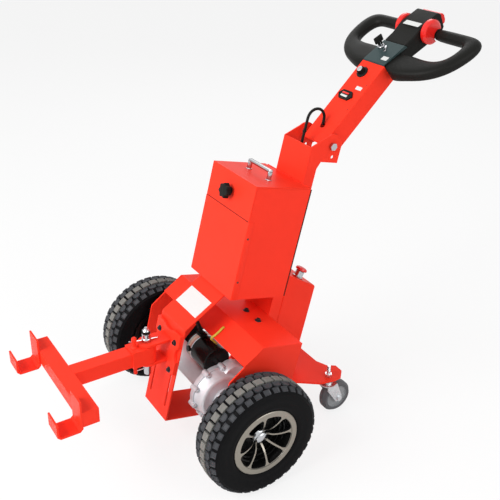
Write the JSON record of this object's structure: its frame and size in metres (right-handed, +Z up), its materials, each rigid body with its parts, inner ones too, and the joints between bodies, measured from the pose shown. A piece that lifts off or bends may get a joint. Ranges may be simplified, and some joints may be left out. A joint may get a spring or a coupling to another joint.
{
  "type": "electric tow tractor",
  "caption": "Walk-behind electric tug with driven wheels, rear casters, leaning battery column, folding tiller with looped head and a swivelling hook hitch.",
  "frame": {"origin": "centre of the object's footprint box, on the ground", "axes": "+X towards the tiller, +Y to the left side, +Z up"},
  "size_m": [1.251, 0.688, 1.132],
  "materials": {
    "battery_case": "black battery case",
    "black_paint": "satin black paint",
    "black_plastic": "black moulded plastic",
    "black_rubber": "black cable sheath",
    "box_paint": "glossy red powder coat",
    "cast_alloy": "bare cast aluminium",
    "chrome": "polished chrome",
    "grey_plastic": "grey moulded plastic",
    "grey_rubber": "grey soft rubber",
    "panel_grey": "blue-grey plate",
    "red_paint": "glossy red powder coat",
    "red_plastic": "red moulded plastic",
    "tyre_rubber": "black tread rubber",
    "wheel_alloy": "machined alloy",
    "zinc": "bright zinc plate"
  },
  "bodies": {
    "chassis": {"spine_plate": "red_paint", "saddle": "red_paint", "column": "red_paint", "column_sides": "red_paint", "controller_box": "red_paint", "caster_plate": "red_paint", "battery_box": "box_paint", "battery_pack": "battery_case", "gear_casing": "cast_alloy", "motor": "black_paint", "hitch_bracket": "red_paint", "hitch_pin": "chrome", "tiller_bolt": "chrome", "stop_button": "red_plastic", "caster_stems": "zinc", "tiller_cable": "black_rubber"},
    "lid": {"lid": "box_paint", "lid_handle": "chrome", "lid_knob": "black_plastic"},
    "tiller": {"tiller_arm": "red_paint", "tiller_head": "black_plastic", "head_panel": "panel_grey", "control_tower": "black_plastic", "drive_paddles": "red_plastic", "belly_switch": "red_plastic", "key_switch": "chrome", "speed_dial": "black_plastic", "charge_gauge": "black_plastic"},
    "hitch": {"receiver": "red_paint", "tow_bar": "red_paint", "cross_bar": "red_paint", "tow_hooks": "red_paint", "drop_pin": "red_paint"},
    "wheel_right": {"tyre_right": "tyre_rubber", "rim_right": "wheel_alloy", "shaft_right": "chrome"},
    "wheel_left": {"tyre_left": "tyre_rubber", "rim_left": "wheel_alloy", "shaft_left": "chrome"},
    "caster_right": {"fork_right": "zinc"},
    "caster_right_wheel": {"caster_hub_right": "grey_plastic", "caster_tyre_right": "grey_rubber"},
    "caster_left": {"fork_left": "zinc"},
    "caster_left_wheel": {"caster_hub_left": "grey_plastic", "caster_tyre_left": "grey_rubber"}
  },
  "joints": [
    {"name": "right_wheel", "type": "hinge", "parent": "chassis", "child": "wheel_right", "pos_m": [-0.13469, -0.2925, 0.165], "axis": [0, 1, 0], "continuous": true},
    {"name": "left_wheel", "type": "hinge", "parent": "chassis", "child": "wheel_left", "pos_m": [-0.13469, 0.2925, 0.165], "axis": [0, 1, 0], "continuous": true},
    {"name": "tiller_fold", "type": "hinge", "parent": "chassis", "child": "tiller", "pos_m": [0.23809, 0, 0.81525], "axis": [0, 1, 0], "range_deg": [0, 121], "deforming": ["tiller_cable"]},
    {"name": "lid_hinge", "type": "hinge", "parent": "chassis", "child": "lid", "pos_m": [0.14063, 0, 0.7268], "axis": [0, 1, 0], "range_deg": [0, 65]},
    {"name": "hitch_swing", "type": "hinge", "parent": "chassis", "child": "hitch", "pos_m": [-0.30169, 0, 0.305], "axis": [0, 0, 1], "range_deg": [-40, 40]},
    {"name": "right_caster_swivel", "type": "hinge", "parent": "chassis", "child": "caster_right", "pos_m": [0.20991, -0.162, 0.13], "axis": [0, 0, 1], "continuous": true},
    {"name": "right_caster_roll", "type": "hinge", "parent": "caster_right", "child": "caster_right_wheel", "pos_m": [0.23991, -0.162, 0.05], "axis": [0, 1, 0], "continuous": true},
    {"name": "left_caster_swivel", "type": "hinge", "parent": "chassis", "child": "caster_left", "pos_m": [0.20991, 0.162, 0.13], "axis": [0, 0, 1], "continuous": true},
    {"name": "left_caster_roll", "type": "hinge", "parent": "caster_left", "child": "caster_left_wheel", "pos_m": [0.23991, 0.162, 0.05], "axis": [0, 1, 0], "continuous": true}
  ]
}
